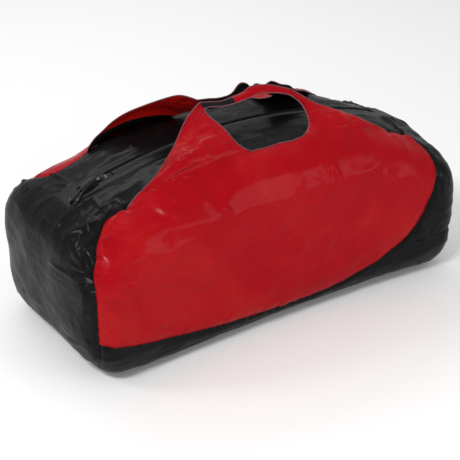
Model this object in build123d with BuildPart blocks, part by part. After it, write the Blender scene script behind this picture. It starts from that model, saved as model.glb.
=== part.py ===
"""Packable duffel bag: a light zipped travel bag with a carry handle rising from each long side.

Frame: X along the bag (+X right), -Y the front, +Z up, origin on the floor under the bag's middle.
The back is the front turned half a turn about Z. Fabric is drawn 2 mm thick.
"""
from build123d import *
import os
from math import asin, cos, degrees, pi, radians, sin, sqrt

# ---- driving dimensions, mm ----
LENGTH = 600.0
MID_HEIGHT = 250.0            # top ridge at the middle
MID_HALF_WIDTH = 134.0
END_HALF_WIDTH = 148.0
RIDGE_RADIUS = 780.0          # the zip's arc, seen from the side
WALL = 2.0                    # stands in for one thin layer of fabric
BELLY = 0.6                   # height of the widest line, as a share of the ridge height
TOP_POWER = 3.16              # superellipse power above the widest line
LOW_POWER = 5.9               # and below it
END_START = 0.85              # share of the half length where the ends start to round off
END_SHRINK = 0.41             # how much smaller the flat end is than the full section
FLAT_SHARE = 0.75             # width of the flat base, as a share of the low corner's
SINK = 0.5                    # the base's bulge, cut off flat at the floor

TOP_SEAM = 81.0               # |y| where the top panels meet the side panels
END_SEAM = 288.0              # |x| of the seams round the end panels
SEAM_CORNER = 69.0            # height of the side panel's low corner

FLAP_HALF = 190.0             # the zip's opening stretch, either side of the middle
FLAP_GAP = 2.0                # fabric left slack beside each flap
ZIP_HALF = 234.0              # the zip's full stretch
ZIP_SLOT = 9.0                # |y| of the fabric edges beside the zip

HANDLE_BASE = (0.0, -90.0, 240.0)     # middle of the front handle's fold line
HANDLE_LEAN = 38.7                    # degrees above level, leaning in over the zip

ZIP_CENTRE = MID_HEIGHT - RIDGE_RADIUS
HALF = LENGTH / 2


# ---- the body's section ----
def spow(value, power):
    """Signed power, for superellipses."""
    return (1 if value >= 0 else -1) * abs(value) ** power


def section(x, inset):
    """Belly height, half width, rise, drop and corner scale of the body at x."""
    share = min(abs(x) / HALF, 1.0)
    ridge = ZIP_CENTRE + sqrt(RIDGE_RADIUS**2 - x**2)
    width = END_HALF_WIDTH + (MID_HALF_WIDTH - END_HALF_WIDTH) * (1 - share**3.1)
    end = max(0.0, (share - END_START) / (1 - END_START))
    scale = 1 - END_SHRINK * (1 - sqrt(1 - end**2.4))
    belly = BELLY * ridge
    rise = (ridge - belly) * scale - inset
    drop = (belly + SINK) * scale - inset
    return belly, width * scale - inset, rise, drop


def section_points(x, inset, steps=10):
    """Points up the right side, over the top and down the left, from one end of the flat base."""
    belly, width, rise, drop = section(x, inset)
    start = radians(72)
    points = []
    for i in range(steps):
        angle = -start * (1 - i / steps)
        points.append((width * spow(cos(angle), 2 / LOW_POWER),
                       belly + drop * spow(sin(angle), 2 / LOW_POWER)))
    for i in range(steps + 1):
        angle = pi / 2 * i / steps
        points.append((width * spow(cos(angle), 2 / TOP_POWER),
                       belly + rise * spow(sin(angle), 2 / TOP_POWER)))
    left = [(-y, z) for y, z in reversed(points[:-1])]
    return points + left, belly - drop


STATIONS = [0.0, 0.25, 0.5, 0.7, 0.8, 0.86, 0.91, 0.95, 0.98, 1.0]
STATIONS = [-s for s in reversed(STATIONS[1:])] + STATIONS


def body_solid(inset):
    """The bag's filled outline, drawn in by inset."""
    with BuildPart(mode=Mode.PRIVATE) as body:
        for share in STATIONS:
            outline, floor = section_points(share * HALF, inset)
            with BuildSketch(Plane.YZ.offset(share * (HALF - inset))):
                with BuildLine():
                    low_right = (outline[0][0] * FLAT_SHARE, floor)
                    low_left = (-low_right[0], floor)
                    Spline(low_right, *outline, low_left, tangents=[(1, 0), (1, 0)])
                    Line(low_left, low_right)
                make_face()
        loft()
    return body.part


outer = body_solid(0)
inner = body_solid(WALL)
with BuildPart(mode=Mode.PRIVATE) as shell:
    add(outer)
    add(inner, mode=Mode.SUBTRACT)
    with BuildSketch(Plane.XY):
        Rectangle(2 * LENGTH, LENGTH)
    extrude(amount=LENGTH, mode=Mode.INTERSECT)


# ---- seam outlines on the front, in XZ ----
LOW_LEFT = (-END_SEAM, SEAM_CORNER)
LOW_JOIN = (150.0, 49.0)              # where the end panel's seam leaves the bottom panel's
LOW_RIGHT = (END_SEAM, SEAM_CORNER)
LEFT_UPPER = (-END_SEAM, 147.0)
LEFT_TOP = (-225.0, 212.0)
RIGHT_TOP = (225.0, 213.0)
JOIN_DIRECTION = (1.0, 0.42)
ABOVE = 300.0


def low_seam():
    """The side panel's lower seam, from its sharp left corner to the join."""
    Spline(LOW_LEFT, (-144, 38), (10, 25), LOW_JOIN, tangents=[(0.8, -0.25), JOIN_DIRECTION])


def end_seam():
    """The seam that sweeps up round the right end, from the join to the top seam."""
    Spline(LOW_JOIN, (207, 84), (239, 138), (252, 188), RIGHT_TOP, tangents=[JOIN_DIRECTION, (-1, 0.5)])


def base_end_seam():
    """The seam between the bottom panel and the end panel, from the join to the end."""
    Spline(LOW_JOIN, (235, 64), LOW_RIGHT, tangents=[JOIN_DIRECTION, (1, 0.02)])


def left_seam():
    """The seam from the left end seam to the top seam."""
    Spline(LEFT_UPPER, (-277, 177), (-252, 199), LEFT_TOP, tangents=[(0, 1), (1, 0.35)])


with BuildSketch(Plane.XZ) as side_outline:
    with BuildLine():
        low_seam()
        end_seam()
        Polyline(RIGHT_TOP, (RIGHT_TOP[0], ABOVE), (LEFT_TOP[0], ABOVE), LEFT_TOP)
        left_seam()
        Line(LEFT_UPPER, LOW_LEFT)
    make_face()

with BuildSketch(Plane.XZ) as base_outline:
    with BuildLine():
        low_seam()
        base_end_seam()
        Polyline(LOW_RIGHT, (END_SEAM, 0), (-END_SEAM, 0), LOW_LEFT)
    make_face()

with BuildSketch(Plane.XZ) as end_outline:
    with BuildLine():
        end_seam()
        base_end_seam()
        Polyline(LOW_RIGHT, (END_SEAM, ABOVE), (RIGHT_TOP[0], ABOVE), RIGHT_TOP)
    make_face()

with BuildSketch(Plane.XZ) as shoulder_outline:
    with BuildLine():
        left_seam()
        Polyline(LEFT_TOP, (LEFT_TOP[0], ABOVE), (-END_SEAM, ABOVE), LEFT_UPPER)
    make_face()


def front_region(outline, start):
    """Everything in front of the plane y = -start that lies inside an XZ outline."""
    with BuildPart(mode=Mode.PRIVATE) as region:
        extrude(outline.sketch.moved(Location((0, -start, 0))), amount=HALF, dir=(0, -1, 0))
    return region.part


def half_turn(shape):
    return shape.rotate(Axis.Z, 180)


# ---- fixed fabric ----
with BuildPart() as front_panel:
    add(shell.part)
    add(front_region(side_outline, TOP_SEAM), mode=Mode.INTERSECT)

with BuildPart() as back_panel:
    add(half_turn(front_panel.part))

with BuildPart(mode=Mode.PRIVATE) as base_region:
    add(front_region(base_outline, 0))
    add(half_turn(front_region(base_outline, 0)))

with BuildPart() as bottom_panel:
    add(shell.part)
    add(base_region.part, mode=Mode.INTERSECT)

with BuildPart(mode=Mode.PRIVATE) as end_wrap:
    add(shell.part)
    add(front_region(end_outline, TOP_SEAM), mode=Mode.INTERSECT)

with BuildPart(mode=Mode.PRIVATE) as end_cap:
    add(shell.part)
    with BuildSketch(Plane.YZ.offset(END_SEAM)):
        Rectangle(LENGTH, 2 * LENGTH)
    extrude(amount=50, mode=Mode.INTERSECT)

with BuildPart() as right_end_panel:
    add(end_wrap.part)
    add(end_cap.part)

with BuildPart() as left_end_panel:
    add(half_turn(right_end_panel.part))

# The top's fixed end, with the slot that holds the zip's last stretch.
TOP_FLOOR = 120.0
with BuildPart(mode=Mode.PRIVATE) as top_strip:
    add(shell.part)
    with BuildSketch(Plane.XY.offset(TOP_FLOOR)):
        with Locations((-(END_SEAM + FLAP_HALF + FLAP_GAP) / 2, 0)):
            Rectangle(END_SEAM - FLAP_HALF - FLAP_GAP, 2 * TOP_SEAM)
        with Locations((-FLAP_HALF, 0)):
            Rectangle(2 * (ZIP_HALF - FLAP_HALF), 2 * ZIP_SLOT, mode=Mode.SUBTRACT)
    extrude(amount=LENGTH, mode=Mode.INTERSECT)

with BuildPart(mode=Mode.PRIVATE) as shoulder:
    add(shell.part)
    add(front_region(shoulder_outline, TOP_SEAM), mode=Mode.INTERSECT)

with BuildPart() as top_left_panel:
    add(top_strip.part)
    add(shoulder.part)

with BuildPart() as top_right_panel:
    add(half_turn(top_left_panel.part))

# ---- the two top flaps, which the zip joins ----
with BuildPart() as front_flap:
    add(shell.part)
    with BuildSketch(Plane.XY.offset(TOP_FLOOR)):
        with Locations((0, -(TOP_SEAM - FLAP_GAP + ZIP_SLOT) / 2)):
            Rectangle(2 * FLAP_HALF, TOP_SEAM - FLAP_GAP - ZIP_SLOT)
    extrude(amount=LENGTH, mode=Mode.INTERSECT)

with BuildPart() as back_flap:
    add(half_turn(front_flap.part))

# ---- the zip, drawn round the centre of its arc ----
ZIP_AXIS = Axis((0, 0, ZIP_CENTRE), (0, 1, 0))
TAPE_TOP = RIDGE_RADIUS - WALL - 0.6
TAPE_THICK = 1.2
TAPE_WIDE = 15.0
COIL_OFFSET = 1.9
COIL_RADIUS = 1.1
COIL_LINE = TAPE_TOP - TAPE_THICK / 2
SLIDER_PARK = 205.0
STOP_LONG = 4.0


def zip_angle(x):
    """Degrees round the zip's arc at a distance x from the middle."""
    return degrees(asin(x / RIDGE_RADIUS))


def zip_plane(angle):
    """Cross-section plane at an angle along the zip: local x is +Y and local y is the radius."""
    turn = radians(angle)
    return Plane(origin=(0, 0, ZIP_CENTRE), x_dir=(0, 1, 0), z_dir=(cos(turn), 0, -sin(turn)))


def zip_strip(profile, start_x, end_x):
    """A profile sketched in (y, radius), carried along the zip's arc."""
    with BuildPart(mode=Mode.PRIVATE) as strip:
        with BuildSketch(zip_plane(zip_angle(start_x))):
            profile()
        revolve(axis=ZIP_AXIS, revolution_arc=zip_angle(end_x) - zip_angle(start_x))
    return strip.part


def tape_profile():
    inside = COIL_OFFSET + COIL_RADIUS + 0.05
    with Locations((-(inside + TAPE_WIDE) / 2, TAPE_TOP - TAPE_THICK / 2)):
        Rectangle(TAPE_WIDE - inside, TAPE_THICK)


def coil_profile():
    with Locations((-COIL_OFFSET, COIL_LINE)):
        Circle(COIL_RADIUS)


def pair(strip):
    """A strip and its mirror image across the zip's line."""
    with BuildPart(mode=Mode.PRIVATE) as both:
        add(strip)
        add(mirror(strip, about=Plane.XZ, mode=Mode.PRIVATE))
    return both.part


with BuildPart() as front_zip_tape:
    add(zip_strip(tape_profile, -FLAP_HALF, FLAP_HALF))

with BuildPart() as front_zip_coil:
    add(zip_strip(coil_profile, -FLAP_HALF, FLAP_HALF))

with BuildPart() as back_zip_tape:
    add(half_turn(front_zip_tape.part))

with BuildPart() as back_zip_coil:
    add(half_turn(front_zip_coil.part))

with BuildPart() as left_zip_end:
    add(pair(zip_strip(tape_profile, -ZIP_HALF, -FLAP_HALF - FLAP_GAP)))

with BuildPart() as left_zip_end_coil:
    add(pair(zip_strip(coil_profile, -ZIP_HALF + 2 * STOP_LONG, -FLAP_HALF - FLAP_GAP)))

with BuildPart() as right_zip_end:
    add(half_turn(left_zip_end.part))

with BuildPart() as right_zip_end_coil:
    add(half_turn(left_zip_end_coil.part))


def stop_profile():
    with Locations((0, COIL_LINE)):
        RectangleRounded(6.0, 3.4, 0.8)


with BuildPart() as left_zip_stop:
    add(zip_strip(stop_profile, -ZIP_HALF + 3.6, -ZIP_HALF + 3.6 + STOP_LONG))

with BuildPart() as right_zip_stop:
    add(half_turn(left_zip_stop.part))


# ---- the slider, its pull and the cord tails ----
def top_height(x, y):
    """Height of the body's upper surface at (x, y)."""
    belly, width, rise, _ = section(x, 0)
    return belly + rise * (1 - (abs(y) / width) ** TOP_POWER) ** (1 / TOP_POWER)


WING_GAP = 1.8                # from the coil's line to each wing
WING_THICK = 1.4
WING_LONG = 12.0
WING_WIDE = 10.8
LIP = 1.0
BAIL_OUTER = 3.2
BAIL_INNER = 2.0
PIN_RISE = 1.05               # the pull's pin above the upper wing
PIN_RADIUS = 0.6
PULL_ARM = 2.8                # |y| of the pull's two arms
PULL_LONG = 13.0

park_turn = radians(zip_angle(-SLIDER_PARK))
park_radial = Vector(sin(park_turn), 0, cos(park_turn))
park_tangent = Vector(cos(park_turn), 0, -sin(park_turn))
slider_origin = Vector(0, 0, ZIP_CENTRE) + park_radial * COIL_LINE
slider_plane = Plane(origin=slider_origin, x_dir=park_tangent, z_dir=park_radial)
wing_top = WING_GAP + WING_THICK

with BuildPart() as slider_body:
    with BuildSketch(slider_plane.offset(WING_GAP), slider_plane.offset(-WING_GAP - WING_THICK)):
        RectangleRounded(WING_LONG, WING_WIDE, 2.4)
    extrude(amount=WING_THICK)
    with BuildSketch(slider_plane.offset(0.95), slider_plane.offset(-WING_GAP)):
        with Locations((0, WING_WIDE / 2 - LIP / 2), (0, -WING_WIDE / 2 + LIP / 2)):
            Rectangle(WING_LONG - 5.0, LIP)
    extrude(amount=WING_GAP - 0.95)
    with BuildSketch(slider_plane.offset(-WING_GAP)):
        with Locations((4.0, 0)):
            Rectangle(2.4, 0.9)
    extrude(amount=2 * WING_GAP)
    bail_plane = Plane(origin=slider_origin + park_radial * wing_top,
                       x_dir=park_tangent, z_dir=park_tangent.cross(park_radial))
    with BuildSketch(bail_plane):
        with Locations((0, PIN_RISE)):
            Circle(BAIL_OUTER)
            Circle(BAIL_INNER, mode=Mode.SUBTRACT)
        with Locations((0, -BAIL_OUTER)):
            Rectangle(4 * BAIL_OUTER, 2 * BAIL_OUTER, mode=Mode.SUBTRACT)
    extrude(amount=0.8, both=True)

pull_plane = slider_plane.offset(wing_top + PIN_RISE)
PULL_HOLE = (-PULL_LONG + 3.0, 0)
with BuildPart() as zip_pull:
    with BuildSketch(pull_plane.offset(-PIN_RADIUS)):
        with Locations((-PULL_LONG / 2 + 0.6, 0)):
            RectangleRounded(PULL_LONG, 2 * PULL_ARM + 1.2, 1.4)
        with Locations((-1.9, 0)):
            RectangleRounded(5.0, 2 * PULL_ARM - 1.2, 0.8, mode=Mode.SUBTRACT)
        with Locations(PULL_HOLE):
            Circle(1.5, mode=Mode.SUBTRACT)
    extrude(amount=2 * PIN_RADIUS)

CORD_RADIUS = 1.2
CORD_RISE = 0.4


def on_top(x, y, lift=0.0):
    """A cord's centre resting on the bag's top."""
    return (x, y, top_height(x, y) + CORD_RADIUS + CORD_RISE + lift)


def cord_route(points):
    """Straight runs joined by tangent arcs, each as large as its two runs allow."""
    corners = [Vector(*p) for p in points]
    radii = []
    for before, here, after in zip(corners, corners[1:], corners[2:]):
        turn = radians((here - before).get_angle(after - here))
        run = min((here - before).length, (after - here).length)
        radii.append(0.45 * run / (sin(turn / 2) / cos(turn / 2)))
    print("cord radii, mm:", [round(r, 1) for r in radii])
    return corners, radii


def cord_tube(points):
    corners, radii = cord_route(points)
    with BuildPart(mode=Mode.PRIVATE) as tube:
        with BuildLine() as path:
            FilletPolyline(*corners, radius=radii)
        route = path.wires()[0]
        with BuildSketch(Plane(origin=route @ 0, z_dir=route % 0)):
            Circle(CORD_RADIUS)
        sweep(path=route)
    ratio = tube.part.volume / (pi * CORD_RADIUS**2 * route.length)
    print("cord length, mm:", round(route.length, 1), "volume ratio:", round(ratio, 4))
    return tube.part, Plane(origin=route @ 1, z_dir=route % 1)


PULL_END = -SLIDER_PARK - PULL_LONG
LONG_TAIL = [on_top(PULL_END - 0.4, 1.6), on_top(PULL_END - 10, 2.6, 1.2), on_top(PULL_END - 19, -1.5, 0.6),
             on_top(PULL_END - 28, -8.5, 0.8), on_top(PULL_END - 37, -11, 1.0)]
SHORT_TAIL = [on_top(PULL_END - 0.4, -1.6), on_top(PULL_END - 8, -5.2, 0.8), on_top(PULL_END - 17, -7.2, 0.5),
              on_top(PULL_END - 26, -13.5, 0.8), on_top(PULL_END - 32, -19, 1.0)]

long_tube, long_end = cord_tube(LONG_TAIL)
short_tube, short_end = cord_tube(SHORT_TAIL)

with BuildPart() as pull_cord_long:
    add(long_tube)

with BuildPart() as pull_cord_short:
    add(short_tube)

with BuildPart() as pull_cord_knots:
    with BuildSketch(long_end, short_end):
        Circle(2.1)
    extrude(amount=4.5)
    fillet(pull_cord_knots.edges().filter_by(GeomType.CIRCLE), 0.8)


# ---- the handles ----
lean = radians(HANDLE_LEAN)
handle_plane = Plane(origin=HANDLE_BASE, x_dir=(1, 0, 0), z_dir=(0, -sin(lean), cos(lean)))
LEG_OUTER = [(-178, -6), (-133, 40), (-101, 71), (-66, 94)]
LEG_INNER = [(-64, 82), (-58, 50), (-40, 5)]
CORE_OUTER = [(-174, -5.7), (-131, 37.8), (-99, 68.6), (-65.5, 91)]
CORE_INNER = [(-64.5, 85), (-61, 50), (-43, 4.8)]
GRIP_LOW = 82.0
GRIP_HIGH = 95.0
GRIP_WIDE = 127.6
GRIP_THICK = 4.4


def closed_face(plane, first_edge, second_edge):
    """A face between two curves, closed by straight lines at both ends."""
    with BuildSketch(plane, mode=Mode.PRIVATE) as face:
        with BuildLine():
            Spline(*first_edge)
            Spline(*second_edge)
            Line(first_edge[0], second_edge[0])
            Line(first_edge[-1], second_edge[-1])
        make_face()
    return face.sketch


BINDING_THICK = 3.0
leg_face = closed_face(handle_plane.offset(-WALL / 2), CORE_OUTER, CORE_INNER[::-1])
binding_plane = handle_plane.offset(-BINDING_THICK / 2)
outer_binding = closed_face(binding_plane, LEG_OUTER, CORE_OUTER)
inner_binding = closed_face(binding_plane, LEG_INNER, CORE_INNER)

with BuildPart() as front_handle_legs:
    extrude(leg_face, amount=WALL)
    mirror(about=Plane.YZ)

with BuildPart() as front_handle_binding:
    extrude(outer_binding, amount=BINDING_THICK)
    extrude(inner_binding, amount=BINDING_THICK)
    mirror(about=Plane.YZ)

with BuildPart() as front_grip:
    with BuildSketch(handle_plane):
        with Locations((0, (GRIP_LOW + GRIP_HIGH) / 2)):
            RectangleRounded(GRIP_WIDE, GRIP_HIGH - GRIP_LOW, 2.0)
    extrude(amount=GRIP_THICK / 2, both=True)
    fillet(front_grip.faces().sort_by(Axis.Z)[0].edges(), 1.2)

with BuildPart() as back_handle_legs:
    add(half_turn(front_handle_legs.part))

with BuildPart() as back_handle_binding:
    add(half_turn(front_handle_binding.part))

with BuildPart() as back_grip:
    add(half_turn(front_grip.part))

# ---- bar tacks at the feet of the handle's legs ----
TACK_X = 172.0
TACK_Y = -87.0
TACK_SIZE = (14.0, 4.0, 1.2)
with BuildPart() as bar_tacks:
    for x in (-TACK_X, TACK_X):
        slope_x = (top_height(x + 1, TACK_Y) - top_height(x - 1, TACK_Y)) / 2
        slope_y = (top_height(x, TACK_Y + 1) - top_height(x, TACK_Y - 1)) / 2
        normal = Vector(-slope_x, -slope_y, 1).normalized()
        foot = Vector(x, TACK_Y, top_height(x, TACK_Y)) + normal * 0.3
        with BuildSketch(Plane(origin=foot, x_dir=(1, 0, slope_x), z_dir=normal)):
            RectangleRounded(TACK_SIZE[0], TACK_SIZE[1], 0.8)
        extrude(amount=TACK_SIZE[2])
    add(half_turn(bar_tacks.part))

# ---- write each piece ----
pieces = {
    "front_panel": front_panel, "back_panel": back_panel, "bottom_panel": bottom_panel,
    "left_end_panel": left_end_panel, "right_end_panel": right_end_panel,
    "top_left_panel": top_left_panel, "top_right_panel": top_right_panel,
    "front_flap": front_flap, "back_flap": back_flap,
    "front_zip_tape": front_zip_tape, "back_zip_tape": back_zip_tape,
    "front_zip_coil": front_zip_coil, "back_zip_coil": back_zip_coil,
    "left_zip_end": left_zip_end, "right_zip_end": right_zip_end,
    "left_zip_end_coil": left_zip_end_coil, "right_zip_end_coil": right_zip_end_coil,
    "left_zip_stop": left_zip_stop, "right_zip_stop": right_zip_stop,
    "slider_body": slider_body, "zip_pull": zip_pull,
    "pull_cord_long": pull_cord_long, "pull_cord_short": pull_cord_short,
    "pull_cord_knots": pull_cord_knots,
    "front_handle_legs": front_handle_legs, "front_handle_binding": front_handle_binding,
    "front_grip": front_grip,
    "back_handle_legs": back_handle_legs, "back_handle_binding": back_handle_binding,
    "back_grip": back_grip,
    "bar_tacks": bar_tacks,
}
os.makedirs("parts", exist_ok=True)
for piece_name, piece in pieces.items():
    piece.part.label = piece_name
    export_step(piece.part, f"parts/{piece_name}.step")
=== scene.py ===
"""The looks of the packable duffel bag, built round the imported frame.

Shapes are in millimetres.
"""
from math import cos, pi, sin

import bmesh
import bpy
import numpy as np
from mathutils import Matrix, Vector
from mathutils.kdtree import KDTree
from numpy.linalg import norm


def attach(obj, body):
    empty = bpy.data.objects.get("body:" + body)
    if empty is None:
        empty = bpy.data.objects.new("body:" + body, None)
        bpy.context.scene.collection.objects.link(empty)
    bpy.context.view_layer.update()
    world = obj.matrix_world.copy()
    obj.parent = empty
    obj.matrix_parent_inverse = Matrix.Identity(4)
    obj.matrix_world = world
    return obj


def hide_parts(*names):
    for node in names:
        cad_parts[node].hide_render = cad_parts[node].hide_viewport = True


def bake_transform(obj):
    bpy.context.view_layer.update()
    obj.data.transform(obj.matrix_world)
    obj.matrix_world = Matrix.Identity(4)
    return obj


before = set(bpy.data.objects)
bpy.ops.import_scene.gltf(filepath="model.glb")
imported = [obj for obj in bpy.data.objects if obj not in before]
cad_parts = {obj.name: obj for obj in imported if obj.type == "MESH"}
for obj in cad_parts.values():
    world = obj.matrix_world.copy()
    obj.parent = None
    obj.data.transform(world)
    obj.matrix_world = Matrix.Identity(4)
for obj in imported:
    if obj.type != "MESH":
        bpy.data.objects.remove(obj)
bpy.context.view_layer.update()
MM = 0.001

# ---- the body's form, as the CAD has it ----
HALF = 300.0
RIDGE_RADIUS = 780.0
ZIP_CENTRE = 250.0 - RIDGE_RADIUS
MID_WIDTH, END_WIDTH = 134.0, 148.0  # half widths at the middle and towards the ends
WIDTH_POWER = 3.1
BELLY = 0.6
TOP_POWER, LOW_POWER = 3.16, 5.9
END_START, END_SHRINK, END_POWER = 0.85, 0.41, 2.4
TOP_SEAM = 81.0  # |y| of the seams along the top
END_SEAM = 288.0  # |x| of the seams round the ends
CORNER_LOW, CORNER_HIGH = 69.0, 147.0  # heights where the side's seams meet the ring round an end
TOP_SEAM_END = 225.0  # |x| where those end
SEAM_FORK = 150.0  # x where the low seam parts into the sweeping seam and the base's
END_FACE = HALF - 0.3  # |x| of the flat ends
FLAP_HALF = 191.0
ZIP_SLOT = 5.6  # |y| of the cloth's edges beside the zip
SLOT_END, SLOT_TAPER = 240.0, 8.0  # |x| where those edges meet, and how long they take to
PULL_ROOM = 0.2  # the cloth stays this low where the slider's cord tails pass
SECTION_STEPS, RING_STEPS = 160, 260


def steps(count):
    """From 0 to 1 in even steps."""
    return np.linspace(0, 1, count)


def share_of(value, start, span):
    """How far the value has come from start, 0 to 1 over the span."""
    return np.clip((value - start) / span, 0, 1)


def section(x):
    """Belly height, half width, rise and drop of the body at x."""
    share = np.clip(np.abs(x) / HALF, 0, 1)
    ridge = ZIP_CENTRE + np.sqrt(RIDGE_RADIUS**2 - np.asarray(x, float)**2)
    width = END_WIDTH + (MID_WIDTH - END_WIDTH) * (1 - share**WIDTH_POWER)
    end = share_of(share, END_START, 1 - END_START)
    scale = 1 - END_SHRINK * (1 - np.sqrt(1 - end**END_POWER))
    belly = BELLY * ridge
    return belly, width * scale, (ridge - belly) * scale, belly * scale


def top_z(x, y):
    belly, width, rise, _ = section(x)
    return belly + rise * (1 - np.clip(np.abs(y) / width, 0, 1)**TOP_POWER)**(1 / TOP_POWER)


def implicit(p):
    """Below 1 inside the body, 1 on its surface."""
    belly, width, rise, drop = section(p[:, 0])
    up = p[:, 2] >= belly
    power = np.where(up, TOP_POWER, LOW_POWER)
    tall = np.abs(p[:, 2] - belly) / np.where(up, rise, drop)
    return (np.abs(p[:, 1]) / width)**power + tall**power


def body_normals(p):
    grad = np.stack([implicit(p + step) - implicit(p - step) for step in np.eye(3) * 0.4], 1)
    flat_end = np.abs(p[:, 0]) > HALF - 0.6
    grad[flat_end] = 0
    grad[:, 0] += np.where(flat_end, np.sign(p[:, 0]), 0)
    return grad / np.maximum(norm(grad, axis=1, keepdims=True), 1e-9)


# ---- curves ----
def spline(points, count):
    """A smooth curve through points, evenly spaced along its length."""
    p = np.asarray(points, float)
    p = np.vstack([2 * p[0] - p[1], p, 2 * p[-1] - p[-2]])
    t = np.linspace(0, 1, 24, endpoint=False)[:, None]
    out = []
    for a, b, c, d in zip(p, p[1:], p[2:], p[3:]):
        square, cube = 2 * a - 5 * b + 4 * c - d, 3 * b - a - 3 * c + d
        out.append(0.5 * (2 * b + (c - a) * t + square * t**2 + cube * t**3))
    return even(np.vstack(out + [p[-2:-1]]), count)


def even(points, count):
    """Points resampled to an even spacing."""
    along = np.concatenate([[0], np.cumsum(norm(np.diff(points, axis=0), axis=1))])
    want = np.linspace(0, along[-1], count)
    return np.stack([np.interp(want, along, points[:, k]) for k in range(points.shape[1])], 1)


# Seams on the front in (x, z); the back's are these turned half a turn about Z.
LOW_SEAM = spline([(-288, 69), (-216, 50), (-144, 38), (-60, 28), (10, 25), (80, 31), (150, 49)], 200)
END_CURVE = spline([(150, 49), (207, 84), (239, 138), (252, 188), (243, 206), (225, 213)], 200)
LEFT_SEAM = spline([(-288, 147), (-286, 163), (-278, 178), (-267, 192), (-248, 204), (-225, 212)], 80)
BASE_END = spline([(150, 49), (190, 58), (235, 64), (288, 69)], 60)
for curve in (END_CURVE, LEFT_SEAM):  # neither passes over the top seam
    curve[:, 1] = np.minimum(curve[:, 1], top_z(curve[:, 0], TOP_SEAM))


def section_curve(x, count=SECTION_STEPS):
    """Half of the body's section at x, from under the middle up the front (-y) to the ridge."""
    belly, width, rise, drop = section(x)
    low = -pi / 2 + pi / 2 * steps(count)**1.6
    up = pi / 2 * (1 - np.linspace(1, 0, count)**1.6)[1:]
    y_low = width * np.cos(low)**(2 / LOW_POWER)
    z_low = belly - drop * np.abs(np.sin(low))**(2 / LOW_POWER)
    y_up = width * np.clip(np.cos(up), 0, 1)**(2 / TOP_POWER)
    z_up = belly + rise * np.sin(up)**(2 / TOP_POWER)
    y, z = np.concatenate([y_low, y_up]), np.concatenate([z_low, z_up])
    y[0] = y[-1] = 0
    along = np.concatenate([[0], np.cumsum(np.hypot(np.diff(y), np.diff(z)))])
    return -y, z, along


def half_turn(grid):
    return grid * np.array([-1, -1, 1])


def side_y(x, z):
    belly, width, rise, drop = section(x)
    up = z >= belly
    power = np.where(up, TOP_POWER, LOW_POWER)
    tall = np.clip(np.abs(z - belly) / np.where(up, rise, drop), 0, 1)
    return width * (1 - tall**power)**(1 / power)


def on_front(curve):
    return np.stack([curve[:, 0], -side_y(curve[:, 0], curve[:, 1]), curve[:, 1]], 1)


def top_seam(low, high, count=200):
    x = np.linspace(low, high, count)
    return np.stack([x, np.full(count, -TOP_SEAM), top_z(x, TOP_SEAM)], 1)


def end_ring():
    y, z, _ = section_curve(END_SEAM, RING_STEPS)
    ring = np.stack([np.full(len(y), END_SEAM), y, z], 1)
    front = ring[ring[:, 2] < CORNER_LOW]
    back = (ring * [1, -1, 1])[ring[:, 2] < CORNER_HIGH]
    return even(np.vstack([front[::-1], back]), 200)


front_seams = [on_front(LOW_SEAM), on_front(END_CURVE), on_front(LEFT_SEAM), on_front(BASE_END),
               top_seam(-TOP_SEAM_END, -215, 6), top_seam(200, TOP_SEAM_END, 12), end_ring()]
SEAMS = np.vstack(front_seams + [half_turn(s) for s in front_seams])

# ---- noise and folds ----
rng = np.random.default_rng(7)
LATTICE_SIDE = 32
LATTICE = rng.uniform(-1, 1, (LATTICE_SIDE, LATTICE_SIDE, LATTICE_SIDE))


def noise(p, size):
    """Smooth value noise between -1 and 1. The size of its features is one number or one per axis."""
    q = p / np.asarray(size, float)
    cell = np.floor(q).astype(int)
    f = q - cell
    f = f * f * f * (f * (f * 6 - 15) + 10)
    total = 0
    for corner in np.ndindex(2, 2, 2):
        weight = np.prod(np.where(corner, f, 1 - f), axis=1)
        i, j, k = ((cell + corner) % LATTICE_SIDE).T
        total = total + weight * LATTICE[i, j, k]
    return total


def ridges(p, size, shift=0.0):
    """Sharp-crested folds, 0 to 1."""
    return 1 - np.abs(noise(p + shift, size)) * 2


seam_tree = KDTree(len(SEAMS))
for seam_index, seam_point in enumerate(SEAMS):
    seam_tree.insert(seam_point, seam_index)
seam_tree.balance()


def nearest_seam(p):
    found = [seam_tree.find(q)[1:] for q in p]
    return np.array([f[1] for f in found]), np.array([f[0] for f in found])


# Fans of creases: (centre, direction and reach, spread, number), half turned for the other side as well.
FANS = [
    ((-286, -112, 182), (62, 40, 34), 0.8, 8), ((-288, -124, 150), (60, -4, 16), 0.7, 7),
    ((-294, -112, 178), (-3, 70, 14), 0.9, 8), ((-294, -120, 150), (-3, 60, -50), 0.8, 8),
    ((-294, -122, 60), (-3, 70, 24), 0.7, 6), ((-290, -60, 184), (50, 20, 20), 1.0, 9),
    ((-200, -84, 226), (60, -20, -18), 0.7, 6), ((-215, -82, 214), (-34, 30, 6), 0.9, 6),
    ((-150, -100, 230), (70, -18, -30), 0.6, 5), ((190, -84, 222), (-40, -20, -40), 0.8, 6),
    ((60, -86, 240), (40, -30, -40), 0.9, 6), ((-40, -86, 240), (-20, -30, -50), 0.9, 5),
    ((-235, 0, 214), (-40, -40, -20), 1.0, 6), ((-235, 0, 214), (-44, 44, -20), 1.0, 6),
    ((-270, -126, 75), (60, -8, 30), 0.8, 6), ((240, -130, 120), (-36, -6, 20), 0.9, 5),
    ((240, -130, 150), (40, 10, 10), 0.9, 5),
    ((-285, -124, 160), (-12, 50, 4), 0.35, 3), ((-279, -118, 178), (-16, 50, 8), 0.3, 3),
    ((-266, -108, 194), (-26, 46, 10), 0.3, 3), ((-248, -96, 206), (-34, 40, 6), 0.3, 3),
    ((-284, -130, 122), (46, -2, 4), 0.6, 6), ((-284, -131, 96), (46, -2, -4), 0.5, 5),
]


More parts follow.
